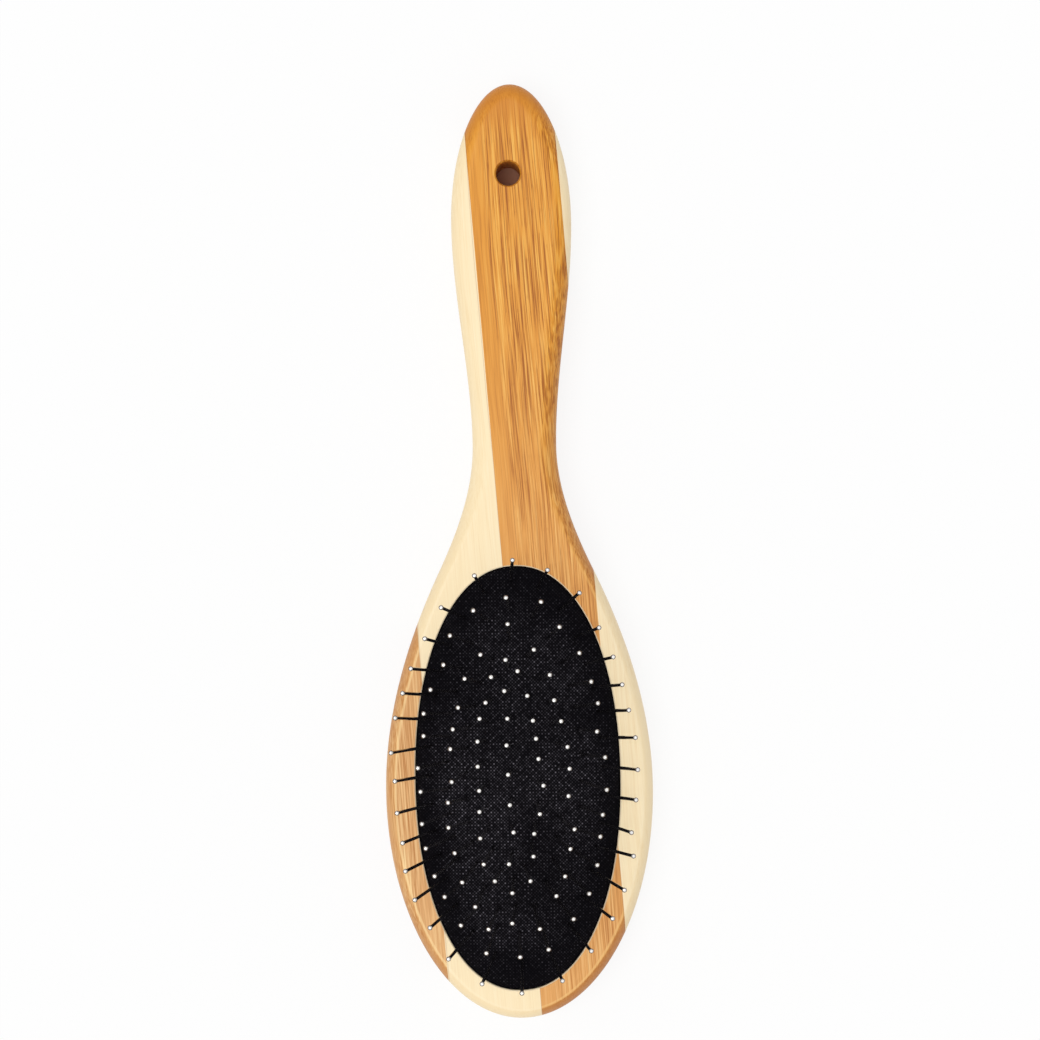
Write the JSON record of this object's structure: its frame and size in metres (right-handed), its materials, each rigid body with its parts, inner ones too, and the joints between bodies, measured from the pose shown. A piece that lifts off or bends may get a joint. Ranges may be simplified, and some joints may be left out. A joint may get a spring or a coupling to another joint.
{
  "type": "dog grooming brush",
  "caption": "Pin brush for grooming a dog: laminated bamboo paddle with a hang hole, an oval domed cushion and ball-tipped steel pins.",
  "frame": {"origin": "on the back face, under the middle of the brush's length and width", "axes": "+Y from the head towards the tip of the handle, +Z out of the head's face along the pins, +X to the right when the handle points away"},
  "size_m": [0.0658, 0.23, 0.0405],
  "materials": {
    "amber_bamboo": "satin lacquer over straight grain",
    "pale_bamboo": "satin lacquer over straight grain",
    "cushion_cloth": "fine woven cloth bonded to rubber",
    "pin_steel": "polished"
  },
  "bodies": {
    "root": {"amber_edge_strip": "amber_bamboo", "pale_left_strip": "pale_bamboo", "amber_middle_strip": "amber_bamboo", "pale_right_strip": "pale_bamboo", "pale_grip_sliver": "pale_bamboo", "cushion": "cushion_cloth", "outer_ring_pins": "pin_steel", "second_ring_pins": "pin_steel", "third_ring_pins": "pin_steel", "inner_ring_pins": "pin_steel", "centre_row_pins": "pin_steel"}
  },
  "joints": []
}
